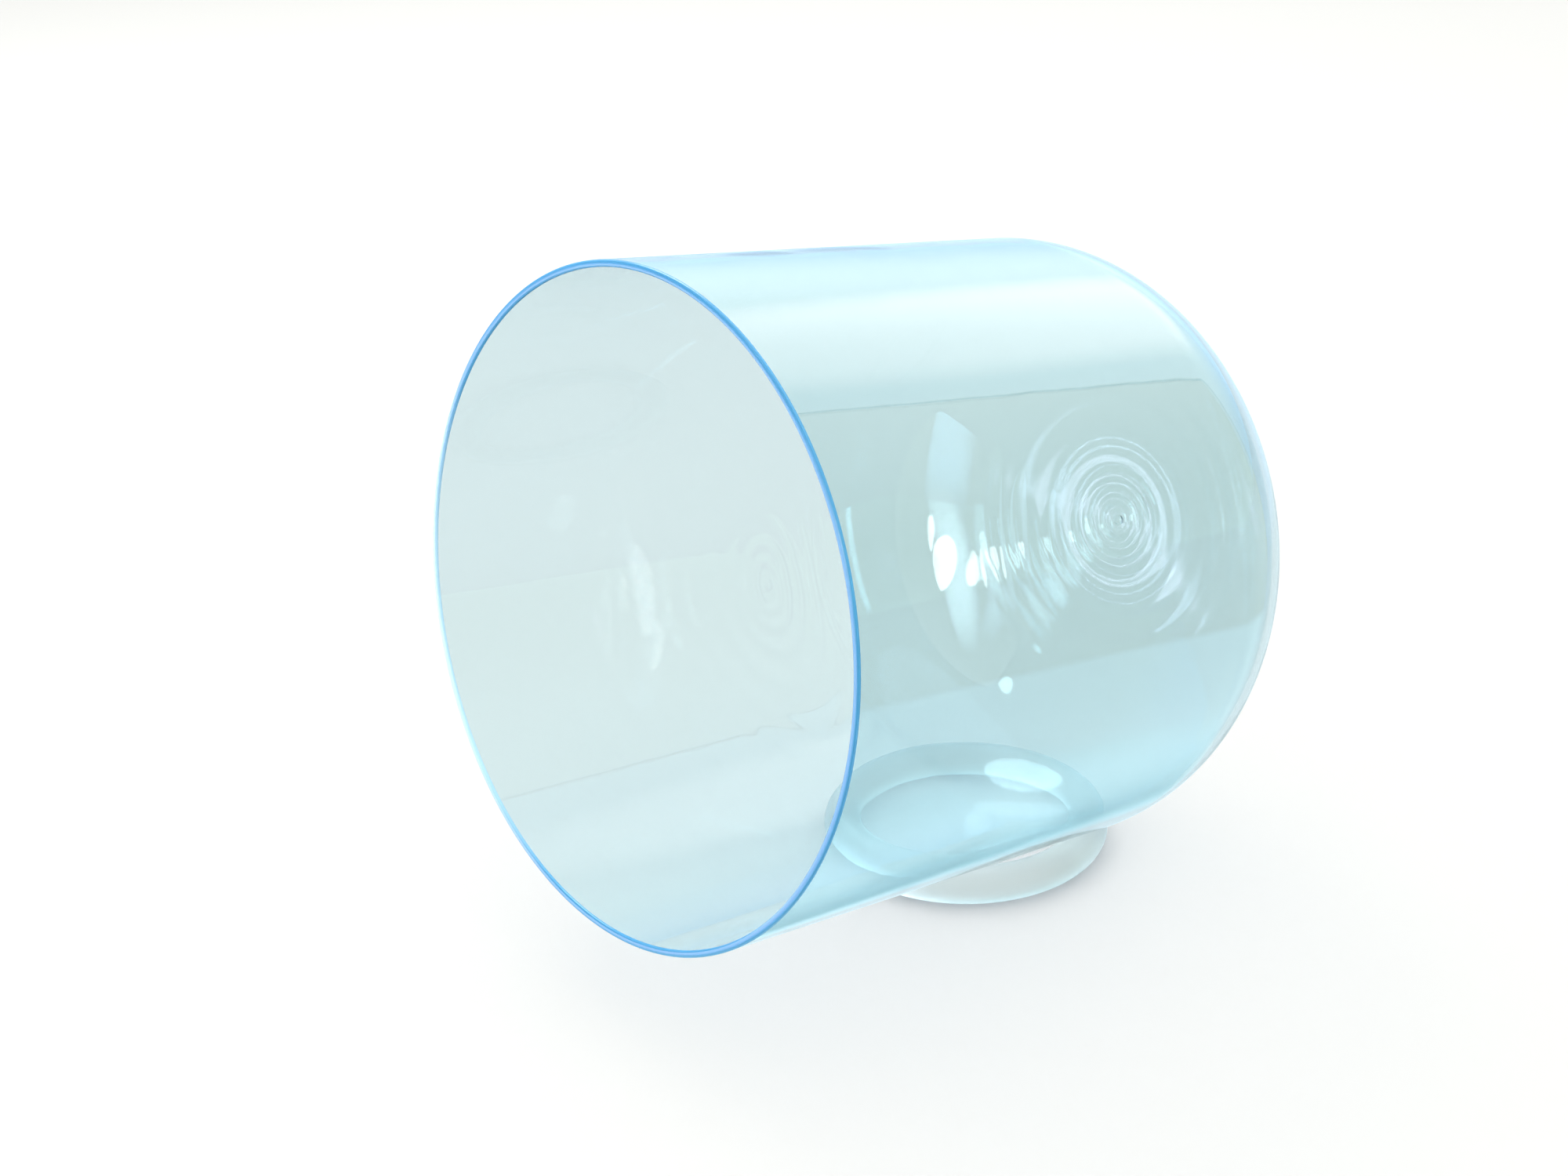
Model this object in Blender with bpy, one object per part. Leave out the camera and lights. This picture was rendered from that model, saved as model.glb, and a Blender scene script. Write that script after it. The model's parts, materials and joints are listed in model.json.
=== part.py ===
"""A clear quartz singing bowl, lying on its side on a silicone ring.

Lengths are in metres and +Z is up. The ring lies flat on the surface z = 0. The bowl's axis
lies in the YZ plane: the open mouth faces -Y and is tipped up, and the closed end faces +Y and
dips into the ring. The origin is the middle of the whole object's footprint.
"""

import math

import bmesh
import bpy
from mathutils import Vector

# Bowl, outside sizes: a straight tube whose far end is closed by a bend and a shallow dome
BOWL_RADIUS = 0.1016
TUBE_LENGTH = 0.1620
BEND_RADIUS = 0.0455
DOME_RADIUS = 0.1640
WALL = 0.0022
RIM_CHAMFER = 0.0005
BOWL_LEAN = math.radians(8.5)

# Ring: a round cord bent into a circle, slightly flattened where it presses on the table
RING_RADIUS = 0.0433
CORD_RADIUS = 0.00635
FOOT_HALF_WIDTH = 0.0022

CLEARANCE = 0.0003

# Fineness of the round shapes
BOWL_SIDES = 72
RING_SIDES = 48
TUBE_STEPS = 3
BEND_STEPS = 8
DOME_STEPS = 6
CORD_STEPS = 18
MERGE_DISTANCE = 0.00001
SHARP_ANGLE = math.radians(40)

# Where the bend meets the dome, as an angle from the bowl's axis, and the bowl's full length
DOME_ANGLE = math.asin((BOWL_RADIUS - BEND_RADIUS) / (DOME_RADIUS - BEND_RADIUS))
DOME_CENTRE = TUBE_LENGTH - (DOME_RADIUS - BEND_RADIUS) * math.cos(DOME_ANGLE)
BOWL_LENGTH = DOME_CENTRE + DOME_RADIUS

# Height of the cord's middle above the table, with the foot cut flat
CORD_HEIGHT = math.sqrt(CORD_RADIUS ** 2 - FOOT_HALF_WIDTH ** 2)


def remove_everything():
    for obj in list(bpy.data.objects):
        bpy.data.objects.remove(obj, do_unlink=True)


def make_material(name, colour, roughness, transmission, ior):
    material = bpy.data.materials.new(name)
    material.use_nodes = True
    shader = material.node_tree.nodes["Principled BSDF"]
    shader.inputs["Base Color"].default_value = (*colour, 1.0)
    shader.inputs["Roughness"].default_value = roughness
    shader.inputs["Metallic"].default_value = 0.0
    shader.inputs["Transmission Weight"].default_value = transmission
    shader.inputs["IOR"].default_value = ior
    return material


def wall_line(depth):
    """One face of the bowl's wall, from the mouth to the pole, as (distance along, radius).

    depth is how far the face lies inside the outer surface.
    """
    line = [(TUBE_LENGTH * i / TUBE_STEPS, BOWL_RADIUS - depth) for i in range(TUBE_STEPS)]
    for i in range(BEND_STEPS):
        turn = (math.pi / 2 - DOME_ANGLE) * i / BEND_STEPS
        along = TUBE_LENGTH + (BEND_RADIUS - depth) * math.sin(turn)
        radius = BOWL_RADIUS - BEND_RADIUS + (BEND_RADIUS - depth) * math.cos(turn)
        line.append((along, radius))
    for i in range(DOME_STEPS):
        turn = DOME_ANGLE * (1 - i / DOME_STEPS)
        along = DOME_CENTRE + (DOME_RADIUS - depth) * math.cos(turn)
        line.append((along, (DOME_RADIUS - depth) * math.sin(turn)))
    line.append((DOME_CENTRE + DOME_RADIUS - depth, 0.0))
    return line


def bowl_outline():
    """The closed wall's section, from the outer pole round the rim to the inner pole."""
    outer = wall_line(0.0)
    inner = wall_line(WALL)
    outer[0] = (RIM_CHAMFER, BOWL_RADIUS)
    inner[0] = (RIM_CHAMFER, BOWL_RADIUS - WALL)
    rim = [(0.0, BOWL_RADIUS - RIM_CHAMFER), (0.0, BOWL_RADIUS - WALL + RIM_CHAMFER)]
    return list(reversed(outer)) + rim + inner


def ring_outline():
    """The cord's section as (radius, height): a circle with a flat foot underneath."""
    foot_angle = math.asin(FOOT_HALF_WIDTH / CORD_RADIUS)
    sweep = 2 * math.pi - 2 * foot_angle
    points = []
    for i in range(CORD_STEPS + 1):
        turn = -math.pi / 2 + foot_angle + sweep * i / CORD_STEPS
        radius = RING_RADIUS + CORD_RADIUS * math.cos(turn)
        points.append((radius, CORD_HEIGHT + CORD_RADIUS * math.sin(turn)))
    return points


def gap_to_bowl(along, radius):
    """Distance from a point outside the bowl, in the bowl's own frame, to its outer surface."""
    if along <= TUBE_LENGTH:
        return radius - BOWL_RADIUS
    bend = Vector((along - TUBE_LENGTH, radius - BOWL_RADIUS + BEND_RADIUS))
    if math.atan2(bend.y, bend.x) > DOME_ANGLE:
        return bend.length - BEND_RADIUS
    return math.hypot(along - DOME_CENTRE, radius) - DOME_RADIUS


def ring_gaps(mouth):
    """Smallest gaps between ring and bowl, on the mouth's side and on the closed end's side."""
    axis = Vector((0.0, math.cos(BOWL_LEAN), -math.sin(BOWL_LEAN)))
    near = far = math.inf
    for i in range(RING_SIDES):
        turn = 2 * math.pi * i / RING_SIDES
        cord = Vector((RING_RADIUS * math.cos(turn), RING_RADIUS * math.sin(turn), CORD_HEIGHT))
        offset = cord - mouth
        along = offset.dot(axis)
        gap = gap_to_bowl(along, (offset - along * axis).length) - CORD_RADIUS
        if cord.y < 0:
            near = min(near, gap)
        else:
            far = min(far, gap)
    return near, far


def bisect(low, high, too_low):
    """The value between low and high where too_low stops being true."""
    for _ in range(40):
        middle = (low + high) / 2
        if too_low(middle):
            low = middle
        else:
            high = middle
    return high


def mouth_on_ring():
    """The mouth's centre when the leaning bowl rests on both sides of a ring at the origin."""
    def lowered_at(y):
        z = bisect(0.0, 3 * BOWL_RADIUS, lambda z: min(ring_gaps(Vector((0, y, z)))) < CLEARANCE)
        return Vector((0.0, y, z))

    def end_side_hangs_clear(y):
        near, far = ring_gaps(lowered_at(y))
        return near < far

    return lowered_at(bisect(-BOWL_LENGTH, -TUBE_LENGTH / 2, end_side_hangs_clear))


def turned_object(name, outline, axis, sides, closed, material):
    """A solid turned about an axis of its own frame, from the points of its section."""
    mesh = bpy.data.meshes.new(name)
    bm = bmesh.new()
    verts = [bm.verts.new(point) for point in outline]
    for first, second in zip(verts, verts[1:]):
        bm.edges.new((first, second))
    if closed:
        bm.edges.new((verts[-1], verts[0]))
    bmesh.ops.spin(bm, geom=bm.verts[:] + bm.edges[:], cent=(0, 0, 0), axis=axis,
                   angle=2 * math.pi, steps=sides, use_merge=True)
    bmesh.ops.remove_doubles(bm, verts=bm.verts[:], dist=MERGE_DISTANCE)
    bmesh.ops.recalc_face_normals(bm, faces=bm.faces[:])
    bm.to_mesh(mesh)
    bm.free()
    mesh.shade_smooth()
    mesh.set_sharp_from_angle(angle=SHARP_ANGLE)
    mesh.materials.append(material)
    obj = bpy.data.objects.new(name, mesh)
    bpy.context.scene.collection.objects.link(obj)
    return obj


def make_bowl():
    """The bowl, whose own origin is the point of its axis that stands above the ring's middle."""
    quartz = make_material("tinted_quartz", (0.62, 0.86, 0.95), 0.03, 0.9, 1.46)
    mouth = mouth_on_ring()
    to_ring = -mouth.y / math.cos(BOWL_LEAN)
    outline = [(0.0, along - to_ring, -radius) for along, radius in bowl_outline()]
    bowl = turned_object("quartz_bowl", outline, (0, 1, 0), BOWL_SIDES, False, quartz)
    bowl.rotation_euler.x = -BOWL_LEAN
    bowl.location.z = mouth.z - to_ring * math.sin(BOWL_LEAN)
    return bowl


def make_ring():
    silicone = make_material("clear_silicone", (0.86, 0.88, 0.86), 0.12, 0.85, 1.41)
    outline = [(radius, 0.0, height) for radius, height in ring_outline()]
    return turned_object("silicone_ring", outline, (0, 0, 1), RING_SIDES, True, silicone)


def centre_on_origin(objects):
    """Slides the objects along Y until the middle of their footprint is at the origin."""
    bpy.context.view_layer.update()
    reach = [(obj.matrix_world @ vert.co).y for obj in objects for vert in obj.data.vertices]
    for obj in objects:
        obj.location.y -= (min(reach) + max(reach)) / 2


def main():
    remove_everything()
    centre_on_origin([make_bowl(), make_ring()])


main()
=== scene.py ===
import json
import math

import bpy
from mathutils import Matrix, Vector


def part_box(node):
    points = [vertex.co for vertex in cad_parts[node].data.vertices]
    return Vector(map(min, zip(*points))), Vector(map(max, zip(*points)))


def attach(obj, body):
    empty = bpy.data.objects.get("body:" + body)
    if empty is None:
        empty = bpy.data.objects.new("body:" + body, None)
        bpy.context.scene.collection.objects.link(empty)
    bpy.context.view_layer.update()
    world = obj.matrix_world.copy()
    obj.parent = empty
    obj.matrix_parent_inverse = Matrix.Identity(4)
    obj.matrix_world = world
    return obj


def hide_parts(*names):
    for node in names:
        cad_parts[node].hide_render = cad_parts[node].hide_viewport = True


# A clear quartz singing bowl lying on its side on a silicone ring: the finished glass and
# silicone, a plain floor, soft studio light and the camera. Lengths are in metres.

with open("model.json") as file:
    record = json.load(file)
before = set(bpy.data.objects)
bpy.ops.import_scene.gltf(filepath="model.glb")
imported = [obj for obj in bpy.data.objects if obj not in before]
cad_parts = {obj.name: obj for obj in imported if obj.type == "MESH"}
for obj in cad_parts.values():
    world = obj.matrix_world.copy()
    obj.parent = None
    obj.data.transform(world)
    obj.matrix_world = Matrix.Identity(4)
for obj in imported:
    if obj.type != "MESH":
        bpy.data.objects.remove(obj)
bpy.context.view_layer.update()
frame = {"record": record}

# The bowl's wall, as the quartz worker turned it
WALL = 0.0022
TUBE_LENGTH = 0.1620
BEND_RADIUS = 0.0455
DOME_RADIUS = 0.1640
EDGE_ROUND = 0.0007
EDGE_BAND = 0.0002
GROUND_DEPTH = 0.0010

# Shallow rings that the lathe left in the dome: radius, height and half width of each
LATHE_RINGS = (
    (0.0034, 0.00028, 0.0008),
    (0.0078, 0.00058, 0.0018),
    (0.0132, 0.00060, 0.0022),
    (0.0205, 0.00042, 0.0026),
    (0.0310, 0.00038, 0.0032),
    (0.0450, 0.00026, 0.0030),
    (0.0560, 0.00020, 0.0028),
)
NUB_HEIGHT = 0.0010
NUB_RADIUS = 0.0015

# The silicone ring, measured to the middle of its cord
RING_MIDDLE = 0.0433

# Fineness of the turned meshes
BOWL_SIDES = 240
RING_SIDES = 192
TUBE_ROWS = 14
BEND_ROWS = 32
DOME_ROWS = 84
POLE_CROWDING = 1.5
EDGE_ROWS = 5
CORD_ROWS = 48
SEED_SIZE = 0.001
MERGE_DISTANCE = 0.000002

# The camera, which looks down and towards the bowl's closed end from beside its mouth
CAMERA_PLACE = Vector((0.4606, -0.4233, 0.3726))
CAMERA_AZIMUTH = math.radians(50.28)
CAMERA_DROP = math.radians(22.96)
CAMERA_ROLL = math.radians(-2.49)
LENS = 48.3

# The studio as the glass mirrors it. A direction is an azimuth and an elevation in degrees, and the
# azimuth is 0 towards -Y and grows towards +X. A colour may be brighter than 1.
PLAIN_SKY = (0.93, 0.93, 0.91)
ROOM_COLOUR = (1.15, 1.25, 0.98)
CORNICE_COLOUR = (2.10, 2.10, 1.85)
CEILING_COLOUR = (3.1, 3.1, 3.0)
BACKDROP_COLOUR = (0.75, 1.06, 1.36)
BACKDROP_TOP_COLOUR = (1.9, 2.2, 2.2)
TABLE_COLOUR = (5.2, 5.0, 6.4)
GROUND_COLOUR = (1.7, 2.3, 2.5)
FAR_GROUND_COLOUR = (0.80, 0.98, 1.05)
UNDER_COLOUR = (1.6, 2.45, 2.7)
UNDER_BACK_COLOUR = (0.25, 0.65, 0.78)
CORNER_SHADE = (0.35, 0.65, 0.55)
BACKDROP_AZIMUTH = 225
CORNER_AZIMUTH = 168
TABLE_AZIMUTH = -60
DIFFUSER_PLACE = (194, 34)

# Where each part of the studio fades in or out, by a direction's height, from -1 straight down to 1
# straight up
ROOM_HEIGHTS = (0.15, 0.80)
BACKDROP_HEIGHTS = (0.0, 0.5)
CEILING_HEIGHTS = (0.80, 0.84)
TABLE_TOP = (-0.14, -0.04)
GROUND_TOP = (-0.42, -0.38)
FAR_GROUND_TOP = (-0.30, -0.20)
UNDER_TOP = (-0.76, -0.66)
CORNER_FOOT = (-0.3, -0.2)

# The same by how closely a direction points at the middle of the part: 0 at right angles to it and
# 1 straight at it
BACKDROP_REACH = (0.1, 0.4)
TABLE_REACH = (0.74, 0.90)
FAR_GROUND_REACH = (0.35, 0.60)
FAR_UNDER_REACH = (0.28, 0.66)
CORNER_REACH = (0.3, 0.4)
DIFFUSER_REACH = (0.950, 0.988)

# The same across the corner of the room, which is at 0: the backdrop's edge past it, and the two
# sides of a thin shaded line just before it
CORNER_EDGE = (-0.002, 0.006)
CORNER_LINE_NEAR = (-0.012, -0.008)
CORNER_LINE_FAR = (-0.004, 0.0)

# Glare by the windows. Spots: azimuth, elevation, half width and colour. Streaks: both ends, half
# width and colour. A spot fades from its core to its edge, in half widths, and a streak fades out
# over a share of its width squared and past its ends.
GLARE_SPOTS = (
    (-25, 2, 5, (8.0, 9.0, 9.5)),
)
GLARE_STREAKS = (
    ((2, -44), (9, 0), 5.0, (4.0, 5.8, 7.6)),
    ((10, -3), (-5, 30), 3.0, (6.5, 7.5, 8.0)),
    ((-10, -25), (-10, 25), 2.0, (3.2, 3.8, 4.2)),
    ((-24, -36), (-24, 16), 3.0, (8.5, 9.5, 10.0)),
    ((89, -40), (89, 40), 2.5, (6.0, 7.5, 8.0)),
)
SPOT_EDGE = 1.3
SPOT_CORE = 0.7
STREAK_FADE = 2.5
STREAK_ENDS = (-0.02, 0.05)

# Lamps that face the bowl: name, azimuth, elevation, distance, width, height and brightness
LAMP_AIM = Vector((0, 0.1, 0.12))
LAMPS = (
    ("window_left", -8.0, 9.5, 2.4, 0.12, 0.36, 24.0),
    ("window_middle", -3.0, 11.5, 2.4, 0.17, 0.34, 24.0),
    ("window_right", 5.0, 12.5, 2.4, 0.28, 0.54, 24.0),
    ("window_edge", 9.5, 6.5, 2.4, 0.12, 0.36, 14.0),
    ("small_window", -23, 30, 2.4, 0.16, 0.16, 24.0),
    ("softbox", -95, 52, 2.5, 1.4, 1.2, 8.0),
)

# A pool of light on the floor beside the mouth, which the closed end mirrors
POOL_PLACE = Vector((-0.52, -0.58, 1.6))
POOL_SPREAD = math.radians(26)
POOL_POWER = 4400
POOL_COLOUR = (1.0, 0.84, 1.0)
POOL_LAMP_SIZE = 0.02

FLOOR_SIZE = 60.0
FLOOR_COLOUR = (0.380, 0.368, 0.376)

# The finishes. A body tint and its density are for light inside the piece, and a shade is what is
# left of the light that passes straight through a face on its way to the floor.
QUARTZ_TINT = (0.655, 0.775, 0.80)
QUARTZ_IOR = 1.46
QUARTZ_BODY_TINT = (0.55, 0.78, 0.92)
QUARTZ_BODY_DENSITY = 20.0
QUARTZ_SHADE = (0.945, 0.955, 0.965)
QUARTZ_HAZE = 0.02
DRAW_LINE_STRETCH = 0.04
DRAW_LINE_DEPTH = 0.15
# The rim's base colour is a painted glow of the blue light that the quartz carries along its wall
RIM_GLOW_BLUE = (0.022, 0.20, 0.42)
RIM_GLOW_PALE = (0.28, 0.46, 0.62)
RIM_CLEARNESS = 0.25
RIM_SMOOTHEST = 0.12
RIM_GRAIN = 0.12
SILICONE_COLOUR = (0.76, 0.79, 0.79)
SILICONE_CLEARNESS = 0.88
SILICONE_IOR = 1.41
SILICONE_GLOSS = 0.08
SILICONE_BODY_TINT = (0.78, 0.84, 0.84)
SILICONE_BODY_DENSITY = 60.0
SILICONE_SHADE = (0.72, 0.74, 0.77)
SILICONE_SMOOTHEST = 0.34
SILICONE_GRAIN = 0.16

# The side of the rim where the painted glow is a paler blue, as less light comes out there: -X and a
# little down. Also how far out the paler blue starts and is full, in bowl radii
RIM_PALE_GLOW_SIDE = Vector((-0.93, 0.36, 0))
RIM_PALE_GLOW_REACH = (0.55, 1.0)

# How often light may bounce, since it crosses up to eight glass surfaces
LIGHT_BOUNCES = 32
MIRROR_BOUNCES = 16


# --- Turned meshes ----------------------------------------------------------------------------

def turn_on_lathe(name, outline, centre, axis, sides):
    """A closed piece turned about an axis, from the points of its section."""
    bpy.ops.object.select_all(action="DESELECT")
    bpy.ops.mesh.primitive_plane_add(size=SEED_SIZE, location=(0, 0, 0))
    piece = bpy.context.object
    piece.name = name
    piece.data.name = name
    bpy.ops.object.mode_set(mode="EDIT")
    bpy.ops.mesh.merge(type="CENTER")
    bpy.ops.transform.translate(value=outline[0])
    for start, end in zip(outline, outline[1:]):
        bpy.ops.mesh.extrude_region_move(TRANSFORM_OT_translate={"value": end - start})
    bpy.ops.mesh.select_all(action="SELECT")
    bpy.ops.mesh.remove_doubles(threshold=MERGE_DISTANCE)
    bpy.ops.mesh.spin(steps=sides, angle=2 * math.pi, center=centre, axis=axis)
    bpy.ops.mesh.select_all(action="SELECT")
    bpy.ops.mesh.remove_doubles(threshold=MERGE_DISTANCE)
    bpy.ops.mesh.normals_make_consistent(inside=False)
    bpy.ops.object.mode_set(mode="OBJECT")
    bpy.ops.object.shade_smooth()
    return piece


def lathe_ripple(radius):
    """How far the dome's outer face stands out of true at a distance from the axis."""
    height = NUB_HEIGHT * math.exp(-(radius / NUB_RADIUS) ** 2)
    for middle, ring_height, half_width in LATHE_RINGS:
        height += ring_height * math.exp(-((radius - middle) / half_width) ** 2)
    return height


class BowlShape:
    """Where the bowl lies, and the lines its wall follows."""

    def __init__(self):
        low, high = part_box("quartz_bowl")
        mounts = {mount["name"]: mount for mount in frame["record"]["mounts"]}
        rim = mounts["ground_rim"]
        self.radius = (high.x - low.x) / 2
        self.axis = -Vector(rim["axis"])
        self.up = self.axis.cross(Vector((-1, 0, 0)))
        self.mouth = Vector(rim["pos_m"]) - (self.radius - WALL / 2) * self.up
        bend_offset = self.radius - BEND_RADIUS
        self.dome_angle = math.asin(bend_offset / (DOME_RADIUS - BEND_RADIUS))
        self.dome_centre = TUBE_LENGTH - bend_offset / math.tan(self.dome_angle)

    def place(self, along, radius):
        """A point of the wall's section, below the bowl's axis."""
        return self.mouth + along * self.axis - radius * self.up

    def wall_face(self, depth, ripple):
        """One face of the wall, from the ground edge to the pole, as (along, radius)."""
        start = EDGE_ROUND + EDGE_BAND
        line = [(EDGE_ROUND, self.radius - depth)]
        for row in range(TUBE_ROWS):
            line.append((start + (TUBE_LENGTH - start) * row / TUBE_ROWS, self.radius - depth))
        for row in range(BEND_ROWS):
            turn = (math.pi / 2 - self.dome_angle) * row / BEND_ROWS
            along = TUBE_LENGTH + (BEND_RADIUS - depth) * math.sin(turn)
            radius = self.radius - BEND_RADIUS + (BEND_RADIUS - depth) * math.cos(turn)
            line.append((along, radius))
        for row in range(DOME_ROWS + 1):
            turn = self.dome_angle * (1 - row / DOME_ROWS) ** POLE_CROWDING
            radius = (DOME_RADIUS - depth) * math.sin(turn)
            reach = DOME_RADIUS - depth + ripple * lathe_ripple(radius)
            line.append((self.dome_centre + reach * math.cos(turn), radius))
        return line

    def outline(self):
        """The wall's whole section, from the outer pole round the edge to the inner pole."""
        outer = self.wall_face(0.0, 1.0)
        inner = self.wall_face(WALL, -1.0)
        edge = []
        for row in range(1, EDGE_ROWS + 1):
            turn = math.pi / 2 * row / EDGE_ROWS
            inset = EDGE_ROUND * (1 - math.cos(turn))
            edge.append((EDGE_ROUND * (1 - math.sin(turn)), inset))
        outer_edge = [(along, self.radius - inset) for along, inset in edge]
        inner_edge = [(along, self.radius - WALL + inset) for along, inset in reversed(edge)]
        section = list(reversed(outer)) + outer_edge + inner_edge + inner
        return [self.place(along, radius) for along, radius in section]


def make_bowl(shape):
    """The quartz bowl, with its polished rim in a finish of its own."""
    bowl = turn_on_lathe("quartz_bowl_wall", shape.outline(), shape.mouth, shape.axis, BOWL_SIDES)
    bowl.data.materials.append(tinted_quartz(shape))
    bowl.data.materials.append(ground_rim(shape))
    for face in bowl.data.polygons:
        face.material_index = int((face.center - shape.mouth).dot(shape.axis) < GROUND_DEPTH)
    return bowl


def make_ring():
    """The silicone ring: a round cord with a narrow flat where it rests on the floor."""
    low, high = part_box("silicone_ring")
    centre = (low + high) / 2
    cord_radius = (high.x - low.x) / 2 - RING_MIDDLE
    height = high.z - cord_radius
    foot_angle = math.acos(height / cord_radius)
    outline = []
    for row in range(CORD_ROWS + 1):
        turn = -math.pi / 2 + foot_angle + (2 * math.pi - 2 * foot_angle) * row / CORD_ROWS
        radius = RING_MIDDLE + cord_radius * math.cos(turn)
        rise = height + cord_radius * math.sin(turn)
        outline.append(Vector((radius, centre.y, rise)))
    outline.append(outline[0].copy())
    middle = Vector((0, centre.y, 0))
    ring = turn_on_lathe("silicone_ring_cord", outline, middle, Vector((0, 0, 1)), RING_SIDES)
    ring.data.materials.append(clear_silicone())
    return ring


# --- Materials --------------------------------------------------------------------------------

class Wire:
    """A node's output, which Python's operators and other nodes take as a value."""

    def __init__(self, tree, socket=None):
        self.tree = tree
        self.socket = socket

    def node(self, kind, settings, inputs, output=0):
        """Adds a node, sets it up, feeds its sockets and returns one of its outputs."""
        made = self.tree.nodes.new(kind)
        for name, value in settings.items():
            setattr(made, name, value)
        for name, value in inputs.items():
            if isinstance(value, Wire):
                self.tree.links.new(value.socket, made.inputs[name])
            else:
                made.inputs[name].default_value = value
        return Wire(self.tree, made.outputs[output])

    def math(self, operation, first, second):
        return self.node("ShaderNodeMath", {"operation": operation}, {0: first, 1: second})

    def __add__(self, other):
        return self.math("ADD", self, other)

    def __sub__(self, other):
        return self.math("SUBTRACT", self, other)

    def __rsub__(self, other):
        return self.math("SUBTRACT", other, self)

    def __mul__(self, other):
        return self.math("MULTIPLY", self, other)

    __radd__ = __add__
    __rmul__ = __mul__

    def feed(self, shader, socket):
        self.tree.links.new(self.socket, shader.inputs[socket])


def between(value, low, high):
    """0 below the low end, 1 above the high end, and smooth in between."""
    return value.node("ShaderNodeMapRange", {"interpolation_type": "SMOOTHSTEP"},
                      {"Value": value, "From Min": low, "From Max": high})


def up_to(value, low, high):
    """1 below the low end, 0 above the high end, and smooth in between."""
    return 1.0 - between(value, low, high)


def blend_colour(factor, first, second):
    """The first colour where the factor is 0, and the second where it is 1."""
    first = first if isinstance(first, Wire) else (*first, 1.0)
    second = second if isinstance(second, Wire) else (*second, 1.0)
    return factor.node("ShaderNodeMix", {"data_type": "RGBA"},
                       {"Factor": factor, 6: first, 7: second}, 2)


def new_finish(name, plain):
    """A material whose shader's own sockets hold the plain values; returns it and the shader."""
    material = bpy.data.materials.new(name)
    material.use_nodes = True
    shader = material.node_tree.nodes["Principled BSDF"]
    for socket, value in plain.items():
        shader.inputs[socket].default_value = value
    return material, shader


def place_pattern(tree, middle, axis):
    """Object coordinates centred on a place, with Z turned along an axis."""
    turn = axis.rotation_difference(Vector((0, 0, 1))).to_euler()
    wire = Wire(tree)
    place = wire.node("ShaderNodeTexCoord", {}, {}, "Object")
    moved = wire.node("ShaderNodeVectorMath", {"operation": "SUBTRACT"}, {0: place, 1: middle})
    return wire.node("ShaderNodeMapping", {"vector_type": "POINT"}, {"Vector": moved, "Rotation": turn})


def absorb(material, colour, density):
    """Light that travels through the piece is dimmed and takes a colour."""
    tree = material.node_tree
    volume = tree.nodes.new("ShaderNodeVolumeAbsorption")
    volume.inputs["Color"].default_value = (*colour, 1.0)
    volume.inputs["Density"].default_value = density
    tree.links.new(volume.outputs[0], tree.nodes["Material Output"].inputs["Volume"])


def let_light_through(material, shader, tint):
    """Light that falls on the floor passes straight through the piece and takes its tint."""
    tree = material.node_tree
    wire = Wire(tree)
    shadow = wire.node("ShaderNodeLightPath", {}, {}, "Is Shadow Ray")
    bounce = wire.node("ShaderNodeLightPath", {}, {}, "Is Diffuse Ray")
    clear = wire.node("ShaderNodeBsdfTransparent", {}, {"Color": (*tint, 1.0)})
    skin = Wire(tree, shader.outputs[0])
    factor = wire.math("MAXIMUM", shadow, bounce)
    both = wire.node("ShaderNodeMixShader", {}, {0: factor, 1: skin, 2: clear})
    both.feed(tree.nodes["Material Output"], "Surface")


def tinted_quartz(shape):
    """Pale blue fused quartz: fire polished, with faint draw lines along the wall."""
    material, shader = new_finish("tinted_quartz_polished", {
        "Base Color": (*QUARTZ_TINT, 1.0),
        "Transmission Weight": 1.0,
        "IOR": QUARTZ_IOR,
    })
    place = place_pattern(material.node_tree, shape.mouth, shape.axis)
    stretch = (1.0, 1.0, DRAW_LINE_STRETCH)
    drawn = place.node("ShaderNodeMapping", {}, {"Vector": place, "Scale": stretch})
    lines = drawn.node("ShaderNodeTexNoise", {}, {"Vector": drawn, "Scale": 70.0, "Detail": 1.0})
    waves = place.node("ShaderNodeTexNoise", {}, {"Vector": place, "Scale": 22.0, "Detail": 2.0})
    haze = place.node("ShaderNodeTexNoise", {}, {"Vector": place, "Scale": 60.0, "Detail": 4.0})
    (haze * QUARTZ_HAZE).feed(shader, "Roughness")
    height = lines * DRAW_LINE_DEPTH + waves
    bump = height.node("ShaderNodeBump", {}, {"Height": height, "Distance": 0.0003, "Strength": 0.3})
    bump.feed(shader, "Normal")
    absorb(material, QUARTZ_BODY_TINT, QUARTZ_BODY_DENSITY)
    let_light_through(material, shader, QUARTZ_SHADE)
    return material


def ground_rim(shape):
    """The polished end of the wall, coloured with a painted blue glow of the light that the quartz
    carries.
    """
    material, shader = new_finish("tinted_quartz_rim_painted_glow", {
        "Transmission Weight": RIM_CLEARNESS,
        "IOR": QUARTZ_IOR,
    })
    place = place_pattern(material.node_tree, shape.mouth, shape.axis)
    # The painted glow turns a paler blue towards one side of the rim
    side = place.node("ShaderNodeVectorMath", {"operation": "DOT_PRODUCT"},
                      {0: place, 1: RIM_PALE_GLOW_SIDE}, "Value")
    pale = between(side, *[reach * shape.radius for reach in RIM_PALE_GLOW_REACH])
    blend_colour(pale, RIM_GLOW_BLUE, RIM_GLOW_PALE).feed(shader, "Base Color")
    grind = place.node("ShaderNodeTexNoise", {}, {"Vector": place, "Scale": 900.0, "Detail": 3.0})
    (RIM_SMOOTHEST + grind * RIM_GRAIN).feed(shader, "Roughness")
    return material


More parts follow.
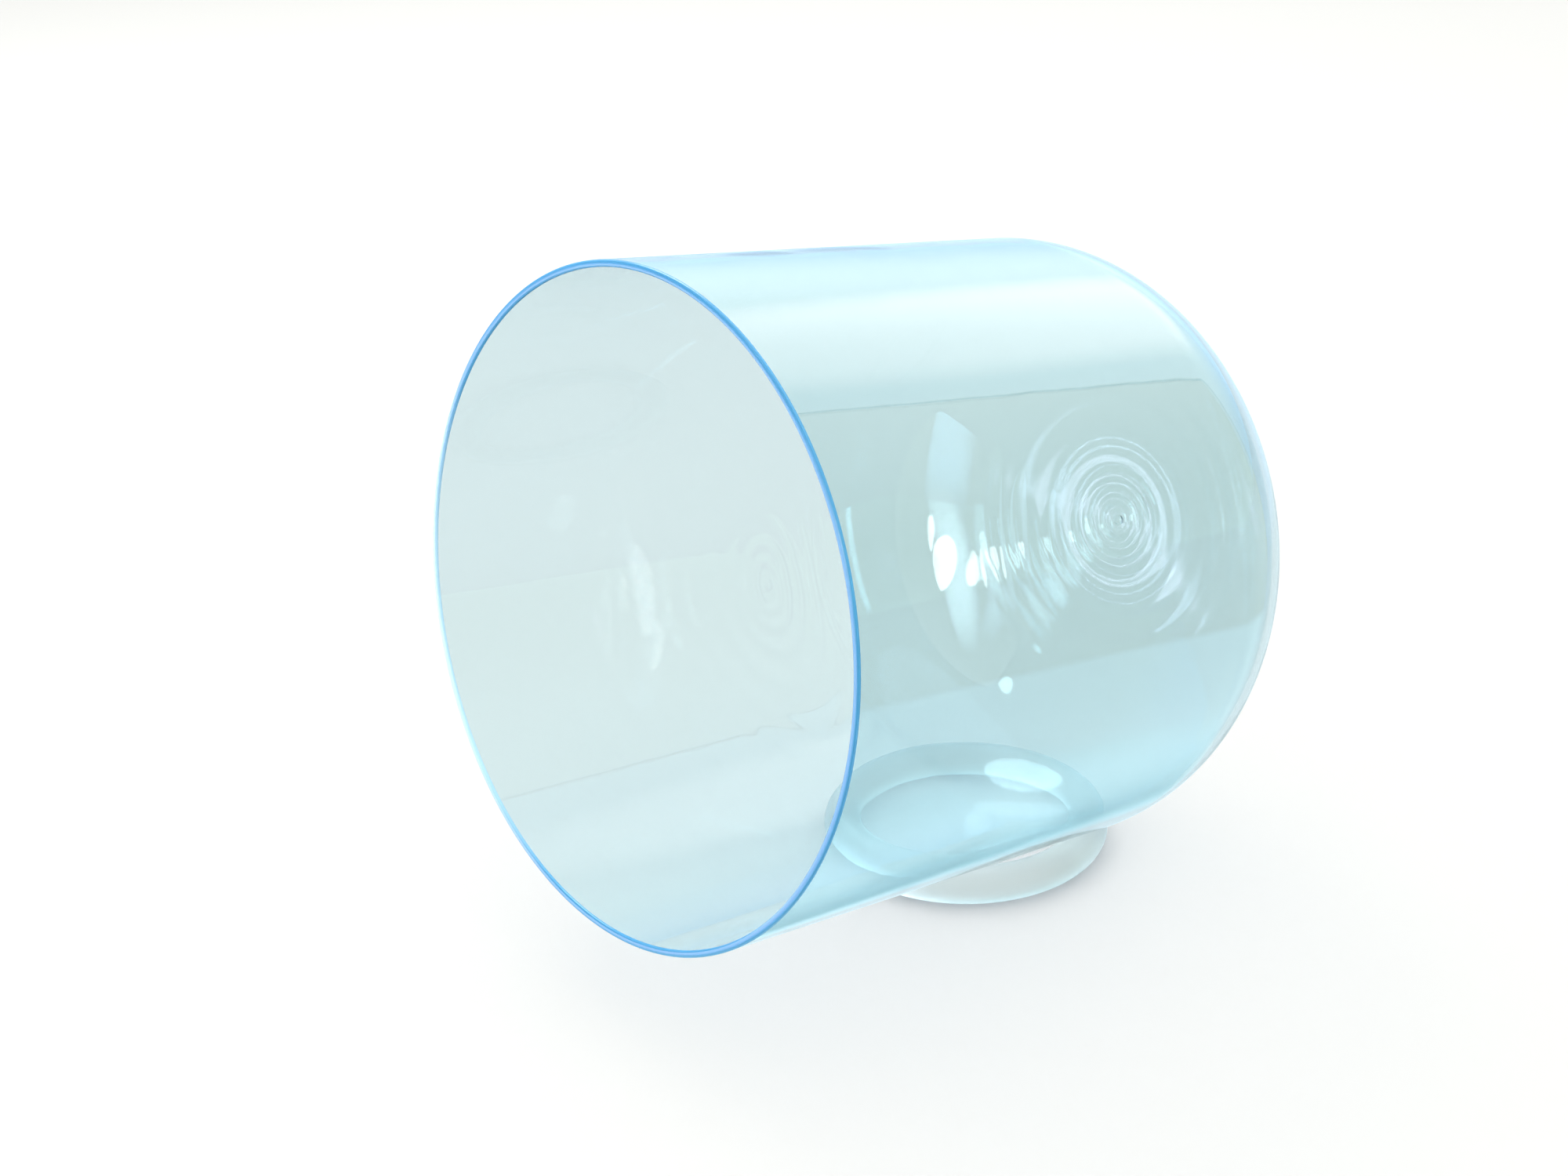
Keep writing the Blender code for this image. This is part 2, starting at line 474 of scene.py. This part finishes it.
def clear_silicone():
    """Clear, slightly cloudy silicone rubber with a soft moulded skin."""
    material, shader = new_finish("clear_silicone_moulded", {
        "Base Color": (*SILICONE_COLOUR, 1.0),
        "Transmission Weight": SILICONE_CLEARNESS,
        "IOR": SILICONE_IOR,
        "Specular IOR Level": SILICONE_GLOSS,
    })
    wire = Wire(material.node_tree)
    place = wire.node("ShaderNodeTexCoord", {}, {}, "Object")
    skin = wire.node("ShaderNodeTexNoise", {}, {"Vector": place, "Scale": 400.0, "Detail": 4.0})
    (SILICONE_SMOOTHEST + skin * SILICONE_GRAIN).feed(shader, "Roughness")
    bump = wire.node("ShaderNodeBump", {}, {"Height": skin, "Distance": 0.0001, "Strength": 0.25})
    bump.feed(shader, "Normal")
    absorb(material, SILICONE_BODY_TINT, SILICONE_BODY_DENSITY)
    let_light_through(material, shader, SILICONE_SHADE)
    return material


# --- Studio -----------------------------------------------------------------------------------

def make_floor():
    """A plain pale floor, which the glass doesn't mirror, so that it mirrors the studio instead."""
    bpy.ops.object.select_all(action="DESELECT")
    bpy.ops.mesh.primitive_plane_add(size=FLOOR_SIZE, location=(0, 0, 0))
    floor = bpy.context.object
    floor.name = "floor"
    material, shader = new_finish("pale_floor", {
        "Base Color": (*FLOOR_COLOUR, 1.0),
        "Roughness": 0.9,
        "Specular IOR Level": 0.0,
    })
    floor.data.materials.append(material)
    floor.visible_glossy = False


def heading(azimuth, elevation):
    """The direction at an azimuth, which is 0 towards -Y and grows towards +X, and an elevation."""
    azimuth, elevation = math.radians(azimuth), math.radians(elevation)
    level = math.cos(elevation)
    return Vector((math.sin(azimuth) * level, -math.cos(azimuth) * level, math.sin(elevation)))


def light_room():
    """A plain sky, seen directly and through the glass, and the studio that the glass mirrors."""
    world = bpy.data.worlds.new("studio")
    bpy.context.scene.world = world
    world.use_nodes = True
    tree = world.node_tree
    wire = Wire(tree)
    way = wire.node("ShaderNodeTexCoord", {}, {}, "Generated")
    height = wire.node("ShaderNodeSeparateXYZ", {}, {0: way}, "Z")

    def along(direction):
        return wire.node("ShaderNodeVectorMath", {"operation": "DOT_PRODUCT"},
                         {0: way, 1: direction}, "Value")

    corner = along(heading(CORNER_AZIMUTH + 90, 0))
    back = along(heading(BACKDROP_AZIMUTH, 0))
    behind = between(corner, *CORNER_EDGE) * between(back, *BACKDROP_REACH)
    room = blend_colour(between(height, *ROOM_HEIGHTS), ROOM_COLOUR, CORNICE_COLOUR)
    backdrop = blend_colour(between(height, *BACKDROP_HEIGHTS), BACKDROP_COLOUR, BACKDROP_TOP_COLOUR)
    sky = blend_colour(behind, room, backdrop)
    table = between(along(heading(TABLE_AZIMUTH, 0)), *TABLE_REACH) * up_to(height, *TABLE_TOP)
    sky = blend_colour(table, sky, TABLE_COLOUR)
    sky = blend_colour(up_to(height, *GROUND_TOP), sky, GROUND_COLOUR)
    far_ground = between(back, *FAR_GROUND_REACH) * up_to(height, *FAR_GROUND_TOP)
    sky = blend_colour(far_ground, sky, FAR_GROUND_COLOUR)
    under = up_to(height, *UNDER_TOP)
    sky = blend_colour(under, sky, UNDER_COLOUR)
    sky = blend_colour(under * between(back, *FAR_UNDER_REACH), sky, UNDER_BACK_COLOUR)
    for azimuth, elevation, half_width, colour in GLARE_SPOTS:
        edge = math.cos(math.radians(half_width * SPOT_EDGE))
        core = math.cos(math.radians(half_width * SPOT_CORE))
        sky = blend_colour(between(along(heading(azimuth, elevation)), edge, core), sky, colour)
    for first_end, last_end, half_width, colour in GLARE_STREAKS:
        first, last = heading(*first_end), heading(*last_end)
        middle = (first + last).normalized()
        across = along(first.cross(last).normalized())
        width = math.sin(math.radians(half_width)) ** 2
        streak = up_to(across * across, 0.0, width * STREAK_FADE)
        ends = [middle.dot(first) + step for step in STREAK_ENDS]
        sky = blend_colour(streak * between(along(middle), *ends), sky, colour)
    line = between(corner, *CORNER_LINE_NEAR) * up_to(corner, *CORNER_LINE_FAR)
    line = line * between(height, *CORNER_FOOT)
    line = line * between(along(heading(CORNER_AZIMUTH, 0)), *CORNER_REACH)
    sky = blend_colour(line, sky, CORNER_SHADE)
    diffuser = between(along(heading(*DIFFUSER_PLACE)), *DIFFUSER_REACH) * behind
    bright = wire.math("MAXIMUM", between(height, *CEILING_HEIGHTS), diffuser)
    sky = blend_colour(bright, sky, CEILING_COLOUR)
    looked_at = wire.node("ShaderNodeLightPath", {}, {}, "Is Camera Ray")
    passed_through = wire.node("ShaderNodeLightPath", {}, {}, "Is Transmission Ray")
    mirrorings = wire.node("ShaderNodeLightPath", {}, {}, "Glossy Depth")
    passed_through = passed_through * wire.math("LESS_THAN", mirrorings, 1.0)
    sky = blend_colour(wire.math("MAXIMUM", looked_at, passed_through), sky, PLAIN_SKY)
    tree.links.new(sky.socket, tree.nodes["Background"].inputs["Color"])


def add_lamp(name, kind):
    """A lamp that can't be seen itself; returns its object and its data."""
    lamp = bpy.data.lights.new(name, kind)
    obj = bpy.data.objects.new(name, lamp)
    bpy.context.scene.collection.objects.link(obj)
    obj.visible_camera = False
    return obj, lamp


def make_window(name, azimuth, elevation, distance, width, height, brightness):
    """A soft oval lamp that faces the bowl."""
    way = heading(azimuth, elevation)
    obj, lamp = add_lamp(name, "AREA")
    lamp.shape = "ELLIPSE"
    lamp.size = width
    lamp.size_y = height
    area = math.pi * width * height / 4
    lamp.energy = brightness * math.pi * area
    obj.location = LAMP_AIM + way * distance
    obj.rotation_euler = way.to_track_quat("Z", "Y").to_euler()


def make_pool():
    """A lamp straight above a place, which lights a soft round pool on the floor."""
    obj, lamp = add_lamp("pool", "SPOT")
    lamp.spot_size = POOL_SPREAD
    lamp.spot_blend = 1.0
    lamp.shadow_soft_size = POOL_LAMP_SIZE
    lamp.energy = POOL_POWER
    lamp.color = POOL_COLOUR
    obj.location = POOL_PLACE


def make_camera():
    """The camera, which looks down at the bowl with a slight roll."""
    data = bpy.data.cameras.new("camera")
    data.lens = LENS
    camera = bpy.data.objects.new("camera", data)
    bpy.context.scene.collection.objects.link(camera)
    level = math.cos(CAMERA_DROP)
    forward = Vector((-math.sin(CAMERA_AZIMUTH) * level, math.cos(CAMERA_AZIMUTH) * level,
                      -math.sin(CAMERA_DROP)))
    aim = forward.to_track_quat("-Z", "Y").to_matrix().to_4x4()
    roll = Matrix.Rotation(CAMERA_ROLL, 4, "Z")
    camera.matrix_world = Matrix.Translation(CAMERA_PLACE) @ aim @ roll
    bpy.context.scene.camera = camera


bowl = make_bowl(BowlShape())
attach(bowl, "bowl")
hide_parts("quartz_bowl")
ring = make_ring()
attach(ring, "ring")
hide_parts("silicone_ring")

make_floor()
light_room()
for lamp_line in LAMPS:
    make_window(*lamp_line)
make_pool()
make_camera()
scene = bpy.context.scene
scene.view_settings.view_transform = "Standard"
scene.cycles.max_bounces = LIGHT_BOUNCES
scene.cycles.transmission_bounces = LIGHT_BOUNCES
scene.cycles.glossy_bounces = MIRROR_BOUNCES
